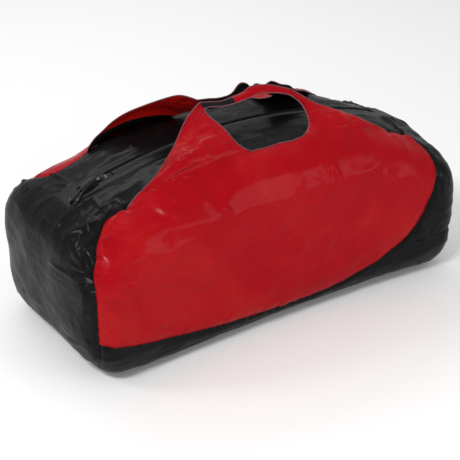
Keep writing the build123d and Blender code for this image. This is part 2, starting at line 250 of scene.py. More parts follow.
def make_folds():
    """Folds as (start, end, height, width): puckers that leave the seams, then larger ones anywhere."""
    folds = []
    for i in range(0, len(SEAMS) - 1, 4):
        along = SEAMS[i + 1] - SEAMS[i]
        length = norm(along)
        if length > 12 or length < 1e-6:
            continue
        normal = body_normals(SEAMS[i:i + 1])[0]
        across = np.cross(along / length, normal)
        side = rng.choice([-1, 1])
        reach = rng.gamma(2.2, 11)
        end = SEAMS[i] + across * side * reach + along / length * rng.normal(0, 0.4) * reach
        folds.append((SEAMS[i], end, rng.normal(0.2, 0.75), rng.uniform(1.8, 3.6)))
    for _ in range(150):
        x, angle = rng.uniform(-270, 270), rng.uniform(0, 2 * pi)
        start = np.array([x, 140 * cos(angle), 125 + 110 * sin(angle)])
        heading = np.array([rng.normal(0, 1.4), rng.normal(0, 0.7), rng.normal(0, 0.7)])
        heading *= rng.uniform(25, 90) / norm(heading)
        folds.append((start, start + heading, rng.normal(0, 0.9), rng.uniform(3, 7)))
    return folds


def make_creases():
    """Sharper creases that spread from the corners and from the handles' feet."""
    creases = []
    other_side = [(half_turn(centre), half_turn(heading), *rest) for centre, heading, *rest in FANS]
    for centre, heading, spread, count in FANS + other_side:
        heading = np.asarray(heading, float)
        normal = body_normals(np.array([centre], float))[0]
        across = np.cross(normal, heading) / norm(heading)
        for share in np.linspace(-1, 1, count) + rng.uniform(-0.06, 0.06, count):
            ahead = heading + across * spread * share * norm(heading)
            start = np.asarray(centre) + ahead * rng.uniform(0.08, 0.2)
            end = start + ahead * rng.uniform(0.55, 1.0)
            creases.append((start, end, rng.uniform(1.8, 4.0), rng.uniform(2.6, 4.6)))
    return creases


def fold_heights(p, folds):
    total = np.zeros(len(p))
    for start, end, height, width in folds:
        line = end - start
        t = (p - start) @ line / (line @ line)
        near = (t > -0.2) & (t < 1.2)
        q = p[near]
        tc = np.clip(t[near], 0, 1)
        gap = norm(q - start - tc[:, None] * line, axis=1)
        total[near] += height * np.exp(-(gap / width)**2) * np.sin(pi * np.clip(0.12 + 0.8 * tc, 0, 1))
    return total


FOLDS = make_folds()
CREASES = make_creases()
PUCKER_REACH, PUCKER = 9.0, 0.85  # how far puckers spread from a seam, and their height
PILLOW_REACH, PILLOW = 26.0, 1.2  # the filling's swell away from the seams
SEAM_REACH, SEAM_DIP = 4.5, 1.9  # the groove along a seam
ZIP_REACH, ZIP_DIP = 2.6, 1.5  # how the cloth's edges turn down beside the zip
TOP_BEGINS = 150.0  # heights above this count as the top
NEAR_FLOOR = 12.0  # below this the cloth lies flat on the floor
HEEL_LIFT = 9.0  # the left end's low edge rounds up from the floor by this


def shoulder_sag(x, y, z):
    """How far the top's corners hang, mostly at the right."""
    behind, ahead = share_of(y, 0, 50), share_of(-y, 15, 50)
    right = 10.0 * behind * share_of(x, 170, 70) + 9.0 * ahead * share_of(x, 210, 60)
    left = 4.0 * behind * share_of(-x, 180, 60)
    return (right + left) * share_of(z, TOP_BEGINS, 50)


def cloth_height(p):
    """How far the filled cloth stands from the smooth form."""
    x, y, z = p.T
    distance, index = nearest_seam(p)
    near = np.exp(-distance / PUCKER_REACH)
    pucker = noise(SEAMS[index] + distance[:, None] * 0.12, 5.0) * np.clip((225 - z) / 30, 0.35, 1)
    height = 2.6 * noise(p, 95) + 1.6 * noise(p + 50, (60, 40, 34))
    side = 1 - 0.75 * share_of(np.abs(x), 284, 12)
    height += side * (1.0 * ridges(p + 12, (46, 30, 22)) + 0.5 * noise(p + 5, (19, 15, 11)))
    height += side * 0.30 * ridges(p, (15, 11, 9)) * np.clip(noise(p + 90, 60) * 2 + 0.4, 0, 1)
    height += fold_heights(p, FOLDS)
    height = height * (0.35 + 0.65 * (1 - near)) + PUCKER * pucker * near + fold_heights(p, CREASES)
    height += PILLOW * (1 - np.exp(-distance / PILLOW_REACH))
    height -= SEAM_DIP * np.exp(-(distance / SEAM_REACH)**2)
    height -= shoulder_sag(x, y, z)
    out = np.abs(y)
    lip = np.exp(-np.maximum(out - ZIP_SLOT, 0) / ZIP_REACH)
    top = z > TOP_BEGINS
    height = np.where(top & (np.abs(x) < SLOT_END), height * (1 - lip) - ZIP_DIP * lip, height)
    clear = PULL_ROOM + (height - PULL_ROOM) * share_of(out, 20, 12)
    height = np.where(top & (height > PULL_ROOM), clear, height)
    height = np.where(z < NEAR_FLOOR, np.maximum(height, 0) * share_of(z, 0, NEAR_FLOOR), height)
    heel = share_of(-x, 220, 70)**1.5 * np.clip(1 - z / 60, 0, 1)
    return height - HEEL_LIFT * heel


# Where the cloth is crushed small, which also sets where the nylon's colour carries a painted highlight:
# (centre, reach, amount), half turned for the other side as well.
CRUSHED_AND_SHEEN = [((-285, -70, 196), 40, 1.0), ((-290, -118, 172), 30, 1.0), ((-262, -40, 212), 34, 0.7),
           ((-172, -62, 244), 26, 1.0), ((-150, -74, 240), 34, 0.9), ((-268, -126, 150), 34, 0.75),
           ((-278, -128, 105), 40, 0.6), ((150, -60, 246), 26, 0.6), ((60, -5, 278), 34, 0.6),
           ((-294, -60, 150), 34, 0.4), ((-150, -82, 233), 26, 0.7)]
CRUSHED_AND_SHEEN += [(half_turn(centre), reach, amount) for centre, reach, amount in CRUSHED_AND_SHEEN]
CRUSHED_AND_SHEEN.append(((15, 50, 248), 44, 0.7))


# How crushed the cloth is; this sets the nylon's crinkle bump and its painted highlight.
def crush_and_sheen_share(p):
    total = np.zeros(len(p))
    for centre, reach, amount in CRUSHED_AND_SHEEN:
        gap = norm(p - centre, axis=1)
        total = np.maximum(total, amount * np.exp(-(gap / reach)**2))
    return total * np.clip(0.9 + 0.8 * noise(p + 140, (22, 18, 15)), 0, 1.4)


# ---- making meshes ----
SHEET_THICK = 0.6
WELD = 0.03  # points closer than this are one
FLOOR_GAP = 0.1
TUBE_STEP = 1.6
BAG_MIDDLE = [0, 0, 130]


def add_object(name, data):
    made = bpy.data.objects.new(name, data)
    bpy.context.scene.collection.objects.link(made)
    return made


def new_object(name, vertices, faces, material, uv=None):
    mesh = bpy.data.meshes.new(name)
    mesh.from_pydata((np.asarray(vertices) * MM).tolist(), [], faces)
    mesh.polygons.foreach_set("use_smooth", [True] * len(mesh.polygons))
    if uv is not None:
        layer = mesh.uv_layers.new(name="UVMap")
        loops = np.zeros(len(mesh.loops), int)
        mesh.loops.foreach_get("vertex_index", loops)
        layer.data.foreach_set("uv", (np.asarray(uv)[loops] * MM).astype(np.float32).ravel())
    mesh.materials.append(material)
    return add_object(name, mesh)


def clean(piece, weld=False):
    """Turns all faces the same way, and can weld points that lie together."""
    bm = bmesh.new()
    bm.from_mesh(piece.data)
    if weld:
        bmesh.ops.remove_doubles(bm, verts=bm.verts, dist=WELD * MM)
        bmesh.ops.dissolve_degenerate(bm, edges=bm.edges, dist=0.002 * MM)
    bmesh.ops.recalc_face_normals(bm, faces=bm.faces)
    bm.to_mesh(piece.data)
    bm.free()


def grid_faces(rows, columns, wrap=False):
    faces = []
    for i in range(rows - 1):
        for j in range(columns - 1 + wrap):
            k = (j + 1) % columns
            faces.append((i * columns + j, (i + 1) * columns + j, (i + 1) * columns + k, i * columns + k))
    return faces


def place(x, s):
    """The point at x, a length s along the front half of the section."""
    y, z, along = section_curve(x)
    return (x, np.interp(s, along, y), np.interp(s, along, z))


def arc_at(x, z=None, y=None):
    """Length along the section at x to a height, or to a distance out on the top."""
    ys, zs, along = section_curve(x)
    half = len(ys) // 2
    return np.interp(z, zs, along) if z is not None else np.interp(-y, ys[half:], along[half:])


def strip_grid(xs, start, stop, count, power=1.0):
    """A grid over the front half of the body, one column for each x. start and stop say how far it goes."""
    columns = []
    for x in xs:
        y, z, along = section_curve(x)
        low = 0.0 if start is None else arc_at(x, **start(x))
        want = low + (arc_at(x, **stop(x)) - low) * steps(count)**power
        column = [np.full(count, x), np.interp(want, along, y), np.interp(want, along, z)]
        columns.append(np.stack(column, 1))
    return np.array(columns)


def low_z(x):
    return np.interp(x, LOW_SEAM[:, 0], LOW_SEAM[:, 1])


def base_z(x):
    return low_z(x) if x < SEAM_FORK else np.interp(x, BASE_END[:, 0], BASE_END[:, 1])


END_TIP = END_CURVE[:, 0].argmax()
END_TIP_X = END_CURVE[END_TIP, 0]


def side_low(x):
    if x < SEAM_FORK:
        return {"z": low_z(x)}
    return {"z": np.interp(x, END_CURVE[:END_TIP + 1, 0], END_CURVE[:END_TIP + 1, 1])}


def side_high(x):
    if x > TOP_SEAM_END:
        return {"z": np.interp(x, END_CURVE[END_TIP:, 0][::-1], END_CURVE[END_TIP:, 1][::-1])}
    if x < -TOP_SEAM_END:
        return {"z": np.interp(x, LEFT_SEAM[:, 0], LEFT_SEAM[:, 1])}
    return {"y": TOP_SEAM}


LEG_COLUMNS = 64
LEFT_ROWS, RIGHT_ROWS, STRIP_ROWS = 62, 58, 70
PANEL_ROWS = 84
TWIST = 25  # rows of the front strip that are turned to show the lining
SOFT_ROWS, SOFT_PASSES = 14, 26  # how the sheet is smoothed where a leg leaves the panel
LINING_GAP = 1.3
LINED = {"front": 0.42, "back": 0.16}  # how far up the right leg the lining reaches
FOOT_LIFT = 7.5  # the handles' load lifts the cloth at their feet by this
FOOT_REACH = 34.0  # how far down the side that lift dies away
FOOT_SHARE = 0.3  # this share of a leg still follows the body's form
STRIP_ROUND = 1.8  # how far the strip bulges between its edges
BINDING_RADIUS = 0.8


def side_columns(feet):
    """x of the side panel's columns, with the same number across each of the handle's feet."""
    return np.concatenate([
        np.linspace(-END_SEAM, feet[0], 34)[:-1], np.linspace(feet[0], feet[1], LEG_COLUMNS)[:-1],
        np.linspace(feet[1], feet[2], 32)[:-1], np.linspace(feet[2], feet[3], LEG_COLUMNS),
        END_TIP_X - (END_TIP_X - feet[3]) * (1 - steps(36)[1:])**2])


# ---- the handles' edges, from the left foot over the strip to the right foot ----
# The back handle's are given half a turn round, so both handles are built alike.
FRONT_HANDLE = {
    "feet": (-215.0, -33.0, 39.0, 200.0),
    "outer_left": [(-215, -81, 215), (-202, -80, 226), (-186, -78, 235), (-171, -73, 241),
                   (-154, -62, 246), (-125, -44, 260), (-97, -26, 281), (-79, -16, 290), (-63, -9, 296)],
    "outer_strip": [(-63, -9, 296), (-46, -8, 293), (-29, -8, 290), (-12, -6, 291), (7, -6, 294),
                    (20, -5, 299), (38, -6, 298), (55, -7, 294), (80, -12, 285)],
    "outer_right": [(80, -12, 285), (92, -20, 277), (104, -36, 268), (128, -54, 258), (153, -69, 247),
                    (178, -79, 232), (200, -81, 219)],
    "inner_left": [(-33, -81, 243), (-44, -76, 254), (-52, -48, 272), (-61, -26, 284), (-60, -16, 289)],
    "inner_strip": [(-60, -16, 289), (-48, -13, 288), (-34, -13, 285), (-12, -16, 286), (10, -17, 289),
                    (31, -15, 290), (55, -16, 286), (75, -19, 280)],
    "inner_right": [(75, -19, 280), (84, -30, 271), (84, -45, 262), (78, -60, 254), (66, -72, 248.5),
                    (53, -79, 244.5), (39, -81, 243)],
}
BACK_HANDLE = {
    "feet": (-200.0, -60.0, 60.0, 185.0),
    "outer_left": [(-200, -81, 219), (-185, -78, 225), (-165, -60, 238), (-140, -34, 254),
                   (-110, -16, 268), (-94, -8, 280), (-78, -6, 286)],
    "outer_strip": [(-78, -6, 286), (-62, -6, 294), (-50, -6, 291), (-36, -6, 296), (-29, -6, 292),
                    (-20, -5, 300), (-9, -5, 302), (4, -6, 290), (24, -5, 289), (40, -4, 292), (62, 2, 297)],
    "outer_right": [(62, 2, 297), (70, -2, 301), (82, -10, 304), (94, -24, 298), (113, -44, 286),
                    (133, -62, 273), (147, -74, 260), (158, -79, 249), (172, -81, 237), (185, -81, 226)],
    "inner_left": [(-60, -81, 241), (-70, -68, 247), (-75, -48, 252), (-73, -22, 264), (-68, -11, 271)],
    "inner_strip": [(-68, -11, 271), (-45, -9, 281), (-20, -9, 283), (5, -9, 276), (24, -9, 274),
                    (38, -9, 276)],
    "inner_right": [(38, -9, 276), (39, -24, 271), (41, -44, 262), (47, -67, 252), (60, -81, 241)],
}


def side_foot(low, high):
    return np.array([place(x, arc_at(x, y=TOP_SEAM)) for x in np.linspace(low, high, LEG_COLUMNS)])


def coons(foot, left, right, top):
    """A grid between four edges: foot and top run across, left and right run up."""
    u = steps(len(foot))[None, :, None]
    v = steps(len(left))[:, None, None]
    across = (1 - v) * foot[None] + v * top[None]
    up = (1 - u) * left[:, None] + u * right[:, None]
    corners = (1 - u) * (1 - v) * foot[0] + u * (1 - v) * foot[-1]
    corners = corners + (1 - u) * v * top[0] + u * v * top[-1]
    return across + up - corners


def straight(a, b, count):
    return np.asarray(a, float) + (np.asarray(b, float) - a) * steps(count)[:, None]


def grid_normals(grid):
    """Normals that look up and away from the zip."""
    along = np.gradient(grid, axis=0)
    across = np.gradient(grid, axis=1)
    n = np.cross(across, along)
    n = n / np.maximum(norm(n, axis=2, keepdims=True), 1e-6)
    away = np.sign(grid[..., 1].mean()) * n[..., 1:2] + n[..., 2:3]
    return n * np.where(away < 0, -1, 1)


def handle_grids(handle):
    """Flat grids of the left leg, the strip and the right leg."""
    feet = handle["feet"]
    left_top = straight(handle["outer_left"][-1], handle["inner_left"][-1], LEG_COLUMNS)
    right_top = straight(handle["inner_right"][0], handle["outer_right"][0], LEG_COLUMNS)
    left = coons(side_foot(feet[0], feet[1]), spline(handle["outer_left"], LEFT_ROWS),
                 spline(handle["inner_left"], LEFT_ROWS), left_top)
    right = coons(side_foot(feet[2], feet[3]), spline(handle["inner_right"][::-1], RIGHT_ROWS),
                  spline(handle["outer_right"][::-1], RIGHT_ROWS), right_top)
    middle = coons(left_top, spline(handle["outer_strip"], STRIP_ROWS),
                   spline(handle["inner_strip"], STRIP_ROWS), right_top[::-1])
    return left, middle, right


def foot_lift(x, feet):
    """How far the load of the handle pulls the cloth up at its feet."""
    lift = np.zeros(len(x))
    for low, high in (feet[:2], feet[2:]):
        lift += FOOT_LIFT * np.sin(pi * share_of(x, low, high - low))**0.7
    return lift


def handle_height(grid, pull):
    """Sag between the edges, crumples near the feet and the pull of the load at the foot."""
    rows, columns, _ = grid.shape
    p = grid.reshape(-1, 3)
    v = np.repeat(steps(rows), columns)
    u = np.tile(steps(columns), rows)
    width = norm(grid[:, -1] - grid[:, 0], axis=1).repeat(columns)
    above = share_of(v, 0, FOOT_SHARE)
    own = above**2 * (3 - 2 * above)
    edge = (4 * u * (1 - u))**0.8
    loose = width / 160
    ripple = 2.2 * ridges(p + 31, (24, 20, 20)) + 1.5 * ridges(p + 77, (13, 11, 12)) + 2.8 * noise(p + 9, 46)
    lift = edge * (loose * (6 * np.sin(pi * v) + ripple) + 0.25 * ripple)
    return (1 - own) * cloth_height(p) + own * lift + np.tile(pull, rows) * (1 - v)**2


def join_sheet(name, parts, *materials, slots=None):
    """One sheet from several (grid, uv) parts whose shared edges have the same points."""
    vertices, faces, uvs, indices = [], [], [], []
    for (grid, uv), slot in zip(parts, slots or [0] * len(parts)):
        start = sum(len(v) for v in vertices)
        vertices.append(grid.reshape(-1, 3))
        uvs.append(uv.reshape(-1, 2))
        faces += [tuple(k + start for k in f) for f in grid_faces(grid.shape[0], grid.shape[1])]
        indices += [slot] * (len(faces) - len(indices))
    piece = new_object(name, np.vstack(vertices), faces, materials[0], np.vstack(uvs))
    for extra in materials[1:]:
        piece.data.materials.append(extra)
    piece.data.polygons.foreach_set("material_index", indices)
    # The crush share goes on the sheet for the nylon's crinkle bump and its painted highlight.
    share = piece.data.attributes.new("crumple_and_sheen", "FLOAT", "POINT")
    share.data.foreach_set("value", crush_and_sheen_share(np.vstack(vertices)).astype(np.float32))
    clean(piece, weld=True)
    return piece


def outward(piece, point):
    """Turns the piece's faces so that the one nearest to a point looks away from the bag's middle."""
    mesh = piece.data
    centres = np.zeros(len(mesh.polygons) * 3)
    mesh.polygons.foreach_get("center", centres)
    k = norm(centres.reshape(-1, 3) / MM - point, axis=1).argmin()
    if np.dot(mesh.polygons[k].normal, np.asarray(point) - BAG_MIDDLE) < 0:
        mesh.flip_normals()


def thicken(piece, rim=True):
    solid = piece.modifiers.new("thickness", "SOLIDIFY")
    solid.thickness = SHEET_THICK * MM
    solid.offset = -1
    solid.use_rim = rim


def arc_uv(grid):
    """Cloth coordinates: lengths along the grid's rows and columns."""
    u = norm(np.diff(grid, axis=0), axis=2)
    v = norm(np.diff(grid, axis=1), axis=2)
    u = np.concatenate([np.zeros((1, grid.shape[1])), np.cumsum(u, axis=0)])
    v = np.concatenate([np.zeros((grid.shape[0], 1)), np.cumsum(v, axis=1)], axis=1)
    return np.stack([u, v], 2)


def lifted(grid, height=None, normals=None):
    """The grid moved off the smooth form by the cloth's height."""
    flat = grid.reshape(-1, 3)
    normals = body_normals(flat) if normals is None else normals.reshape(-1, 3)
    height = cloth_height(flat) if height is None else height
    return (flat + normals * np.asarray(height)[:, None]).reshape(grid.shape)


def tube(name, points, radius, made, sides=8):
    """A bead of cord or folded tape along a line of points."""
    length = norm(np.diff(points, axis=0), axis=1).sum()
    line = even(np.asarray(points, float), max(8, int(length / TUBE_STEP)))
    tangent = np.gradient(line, axis=0)
    tangent /= norm(tangent, axis=1, keepdims=True)
    side = np.cross(tangent[0], [0.3, 0.2, 1.0])
    rings = []
    angles = np.linspace(0, 2 * pi, sides, endpoint=False)
    for here, ahead in zip(line, tangent):
        side = side - ahead * (side @ ahead)
        side /= norm(side)
        up = np.cross(ahead, side)
        rings.append(here + radius * (np.cos(angles)[:, None] * side + np.sin(angles)[:, None] * up))
    rings = np.array(rings)
    faces = grid_faces(len(rings), sides, wrap=True)
    faces += [tuple(range(sides))[::-1], tuple(range((len(rings) - 1) * sides, len(rings) * sides))]
    piece = new_object(name, rings.reshape(-1, 3), faces, made)
    clean(piece)
    return piece


# ---- materials ----
def material(name, colour, roughness, specular=0.5, metallic=0.0, coat=0.0, coat_roughness=0.2, sheen=0.0):
    made = bpy.data.materials.new(name)
    made.use_nodes = True
    shader = made.node_tree.nodes["Principled BSDF"]
    values = {"Base Color": (*colour, 1), "Roughness": roughness, "Specular IOR Level": specular,
              "Metallic": metallic, "Coat Weight": coat, "Coat Roughness": coat_roughness,
              "Sheen Weight": sheen}
    for key, value in values.items():
        shader.inputs[key].default_value = value
    return made, shader


class Graph:
    """Short calls for wiring a material's nodes."""

    def __init__(self, made, coordinates="UV"):
        self.tree = made.node_tree
        self.source = self.tree.nodes.new("ShaderNodeTexCoord").outputs[coordinates]

    def node(self, kind, links=None, **settings):
        made = self.tree.nodes.new(kind)
        for key, value in settings.items():
            setattr(made, key, value)
        for key, value in (links or {}).items():
            if isinstance(value, bpy.types.NodeSocket):
                self.tree.links.new(value, made.inputs[key])
            else:
                made.inputs[key].default_value = value
        return made

    def mapped(self, scale=(1, 1, 1), turn=0.0):
        return self.node("ShaderNodeMapping", {"Vector": self.source, "Scale": scale,
                                               "Rotation": (0, 0, turn)}).outputs[0]

    def noise(self, scale, detail=3.0, kind="FBM", vector=None, distortion=0.0, rough=0.5):
        links = {"Vector": vector or self.source, "Scale": scale, "Detail": detail,
                 "Distortion": distortion, "Roughness": rough}
        return self.node("ShaderNodeTexNoise", links, noise_type=kind).outputs[0]

    def wave(self, scale, axis):
        return self.node("ShaderNodeTexWave", {"Vector": self.source, "Scale": scale},
                         bands_direction=axis).outputs["Fac"]

    def maths(self, operation, a, b):
        return self.node("ShaderNodeMath", {0: a, 1: b}, operation=operation).outputs[0]

    def ramp(self, value, low, high, to_low, to_high):
        links = {"Value": value, "From Min": low, "From Max": high, "To Min": to_low, "To Max": to_high}
        return self.node("ShaderNodeMapRange", links).outputs[0]

    def colours(self, value, stops):
        made = self.node("ShaderNodeValToRGB", {0: value})
        elements = made.color_ramp.elements
        while len(elements) < len(stops):
            elements.new(0.5)
        for element, (position, colour) in zip(elements, stops):
            element.position = position
            element.color = (*colour, 1)
        return made.outputs[0]

    def bump(self, height, distance, strength=1.0, below=None):
        links = {"Height": height, "Distance": distance, "Strength": strength}
        if below is not None:
            links["Normal"] = below
        return self.node("ShaderNodeBump", links).outputs[0]


def nylon(name, dark, middle, light, painted_sheen, roughness, crinkle, coat=0.10, coat_roughness=0.19):
    """Thin coated ripstop nylon: crinkled and satin, with a grid of heavier threads; where crushed, its base
    colour turns to a lighter, painted highlight.
    """
    made, shader = material(name, middle, roughness, specular=0.03, coat=coat, coat_roughness=coat_roughness)
    graph = Graph(made)
    link = made.node_tree.links.new
    patches = graph.noise(9.0, 5.0, distortion=0.6, rough=0.6)
    # The crush share sets both the crinkle bump and where the painted highlight goes.
    crumple_and_sheen = graph.node("ShaderNodeAttribute", attribute_name="crumple_and_sheen").outputs["Fac"]
    crushed = graph.noise(52.0, 4.0, "RIDGED_MULTIFRACTAL", graph.mapped((1.0, 1.8, 1.0), -0.4), 1.4, 0.55)
    crushed = graph.maths("MULTIPLY", crushed, crumple_and_sheen)
    plain = graph.colours(patches, [(0.28, dark), (0.5, middle), (0.74, light)])
    # Painted highlight: where crushed, the base colour is mixed towards the lighter highlight colour.
    share = graph.ramp(crushed, 0.12, 0.6, 0.0, 0.8)
    painted_sheen_mix = graph.node("ShaderNodeMixRGB", {"Fac": share, "Color1": plain, "Color2": (*painted_sheen, 1)})
    link(painted_sheen_mix.outputs[0], shader.inputs["Base Color"])
    stretched = graph.mapped((1.0, 1.7, 1.0), 0.5)
    dull = graph.noise(30.0, 4.0, vector=stretched)
    link(graph.ramp(dull, 0.3, 0.7, roughness - 0.08, roughness + 0.12), shader.inputs["Roughness"])
    large = graph.noise(17.0, 4.0, "RIDGED_MULTIFRACTAL", stretched, 0.8, 0.5)
    small = graph.noise(80.0, 3.0, vector=graph.mapped((1.0, 2.2, 1.0), 0.9), distortion=1.4, rough=0.5)
    grid = graph.maths("MAXIMUM", graph.wave(63.0, "X"), graph.wave(63.0, "Y"))
    threads = graph.maths("ADD", graph.wave(520.0, "X"), graph.wave(520.0, "Y"))
    rip = graph.ramp(grid, 0.93, 1.0, 0.0, 1.0)
    normal = graph.bump(large, 0.0016 * crinkle)
    normal = graph.bump(small, 0.0010 * crinkle, below=normal)
    normal = graph.bump(crushed, 0.0048 * crinkle, below=normal)
    cloth = graph.maths("ADD", rip, graph.maths("MULTIPLY", threads, 0.18))
    link(graph.bump(cloth, 0.00006, below=normal), shader.inputs["Normal"])
    return made


def woven(name, dark, light, roughness, pitch_x, pitch_y, depth, coordinates="Object", sheen=0.15):
    """Close woven tape or thread."""
    made, shader = material(name, light, roughness, specular=0.3, sheen=sheen)
    graph = Graph(made, coordinates)
    link = made.node_tree.links.new
    ribs = graph.maths("MULTIPLY", graph.wave(pitch_x, "X"), graph.wave(pitch_y, "Y"))
    wear = graph.noise(220.0, 3.0)
    # Weave ribs times wear; on the cord braid the light end is partly a painted glint.
    worn = graph.maths("MULTIPLY", ribs, wear)
    link(graph.colours(worn, [(0.05, dark), (0.6, light)]), shader.inputs["Base Color"])
    link(graph.ramp(wear, 0.3, 0.7, roughness - 0.1, roughness + 0.08), shader.inputs["Roughness"])
    link(graph.bump(ribs, depth, below=graph.bump(wear, depth)), shader.inputs["Normal"])
    return made


def satin(name, colour, worn, roughness, metallic, depth=0.00004):
    """Moulded plastic or lacquered metal with a little wear."""
    made, shader = material(name, colour, roughness, metallic=metallic)
    graph = Graph(made, "Object")
    link = made.node_tree.links.new
    cloud = graph.noise(450.0, 4.0)
    link(graph.colours(cloud, [(0.45, colour), (0.75, worn)]), shader.inputs["Base Color"])
    link(graph.ramp(cloud, 0.3, 0.7, roughness - 0.08, roughness + 0.14), shader.inputs["Roughness"])
    link(graph.bump(graph.noise(1400.0, 2.0), depth), shader.inputs["Normal"])
    return made


# The fourth colour of each nylon is its painted highlight, used where the cloth is crushed.
RED = nylon("red_nylon", (0.29, 0.0005, 0.004), (0.34, 0.001, 0.006), (0.39, 0.009, 0.008),
            (0.62, 0.13, 0.10), 0.34, 1.2)
BLACK = nylon("black_nylon", (0.0025, 0.0025, 0.0027), (0.0045, 0.0045, 0.0047), (0.008, 0.008, 0.0083),
              (0.13, 0.13, 0.135), 0.34, 1.3, 0.12, 0.17)
FACING = nylon("facing_nylon", (0.006, 0.006, 0.007), (0.011, 0.011, 0.012), (0.018, 0.018, 0.019),
               (0.10, 0.10, 0.102), 0.40, 1.2)
# Painted glow: a brighter red than the sides' cloth, standing in for light shining through the thin nylon.
GLOW_PAINTED_RED = nylon("red_nylon_painted_glow", (0.55, 0.006, 0.006), (0.68, 0.012, 0.010), (0.78, 0.035, 0.015),
                 (0.85, 0.2, 0.1), 0.34, 1.2)
TRIM = woven("edge_binding", (0.12, 0.02, 0.03), (0.42, 0.16, 0.18), 0.6, 900.0, 900.0, 0.00008)
TAPE = woven("zip_tape_cloth", (0.008, 0.008, 0.008), (0.028, 0.028, 0.029), 0.7, 700.0, 1100.0, 0.0001)
COIL = satin("zip_coil_nylon", (0.012, 0.012, 0.012), (0.03, 0.03, 0.03), 0.38, 0.0)
METAL = satin("slider_lacquer", (0.02, 0.02, 0.021), (0.10, 0.10, 0.105), 0.32, 0.6)
# The braid's lighter weave crests are partly its own tone and partly a painted glint.
BRAID = woven("cord_braid", (0.003, 0.003, 0.003), (0.06, 0.06, 0.06), 0.6, 1100.0, 1100.0, 0.0004)
KNOB = satin("cord_end_plastic", (0.018, 0.018, 0.018), (0.05, 0.05, 0.05), 0.35, 0.0)
THREAD = woven("tack_thread", (0.06, 0.01, 0.015), (0.30, 0.12, 0.13), 0.6, 1400.0, 500.0, 0.00015)

# ---- camera ----
def aim_from(thing, place_at, aim):
    thing.location = place_at
    thing.rotation_euler = (Vector(aim) - thing.location).to_track_quat("-Z", "Y").to_euler()


camera_data = bpy.data.cameras.new("camera")
camera = add_object("camera", camera_data)
aim_from(camera, (-0.8317, -1.2416, 0.8882), (-0.0144, -0.0078, 0.0931))
camera_data.sensor_width = 36.0
camera_data.lens = 93.9
bpy.context.scene.camera = camera

# ---- the zip pull's two cord tails ----
CORD_WIDE = 2.4
CORD_CLEAR = 0.4
PULL_END = -218.0


def on_top(x, y, lift=0.0):
    return (x, y, float(top_z(x, y)) + CORD_WIDE / 2 + CORD_CLEAR + lift)


LONG_TAIL = [on_top(PULL_END - 0.4, 1.6), on_top(PULL_END - 10, 2.6, 1.2),
             on_top(PULL_END - 19, -1.5, 0.6), on_top(PULL_END - 28, -8.5, 0.8),
             on_top(PULL_END - 37, -11, 1.0)]
SHORT_TAIL = [on_top(PULL_END - 0.4, -1.6), on_top(PULL_END - 8, -5.2, 0.8),
              on_top(PULL_END - 17, -7.2, 0.5), on_top(PULL_END - 26, -13.5, 0.8),
              on_top(PULL_END - 32, -19, 1.0)]


def cord_curve(name, points):
    data = bpy.data.curves.new(name, "CURVE")
    data.dimensions = "3D"
    data.bevel_depth = CORD_WIDE / 2 * MM
    data.bevel_resolution = 4
    data.resolution_u = 12
    data.use_fill_caps = True
    line = data.splines.new("NURBS")
    line.points.add(len(points) - 1)
    for target, p in zip(line.points, points):
        target.co = (p[0] * MM, p[1] * MM, p[2] * MM, 1)
    line.order_u = 3
    line.use_endpoint_u = True
    data.materials.append(BRAID)
    return add_object(name, data)


for cord_name, node, route, span in (("pull_tail_long", "pull_cord_long", LONG_TAIL, 0.0414),
                                     ("pull_tail_short", "pull_cord_short", SHORT_TAIL, 0.0377)):
    tail = cord_curve(cord_name, route)
    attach(tail, "pull")
    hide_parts(node)

# ---- the plaited length of cord next to the slider's pull ----
BRAID_LONG = 23.0
BRAID_TURNS = 3.0
BRAID_POINTS = 64
STRAND_OUT = 2.5
STRAND_RADIUS = 1.8


def braid():
    """Three strands plaited round the start of the tails, as one mesh."""
    share = steps(BRAID_POINTS)
    x = PULL_END + 3.0 - BRAID_LONG * share
    y = -0.6 - 4.5 * share**1.5
    middle = np.stack([x, y, top_z(x, y) + STRAND_OUT + STRAND_RADIUS + 0.5], 1)
    swell = 0.55 + 0.55 * np.sin(pi * np.clip(share * 1.15, 0, 1))**0.6
    strands = []
    for phase in (0, 2 * pi / 3, 4 * pi / 3):
        turn = 2 * pi * BRAID_TURNS * share + phase
        offset = np.stack([0 * share, np.cos(turn), 0.75 * np.sin(turn)], 1) * STRAND_OUT * swell[:, None]
        strands.append(middle + offset)
    return strands


for k, line in enumerate(braid()):
    strand = tube(f"pull_braid_{k}", line, STRAND_RADIUS, BRAID, 10)
    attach(strand, "pull")

# ---- the red sides with their handles ----
def leg_uv(grid, foot_u, foot_v):
    """Cloth coordinates that carry on from the side panel's at the leg's foot."""
    width = norm(grid[:, -1] - grid[:, 0], axis=1)
    share = (width / width[0])[:, None]
    middle = foot_u.mean()
    u = middle + (foot_u - middle)[None] * share
    v = foot_v[None] + arc_uv(grid)[..., 0]
    return np.stack([u, v], 2)


def blended_normals(grid):
    """The grid's own normals, turning into the body's at the foot."""
    own = grid_normals(grid)
    body = body_normals(grid.reshape(-1, 3)).reshape(grid.shape)
    share = share_of(steps(len(grid)), 0, FOOT_SHARE)[:, None, None]
    mixed = own * share + body * (1 - share)
    return mixed / norm(mixed, axis=2, keepdims=True)


def fold_with_handle(piece):
    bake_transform(piece)


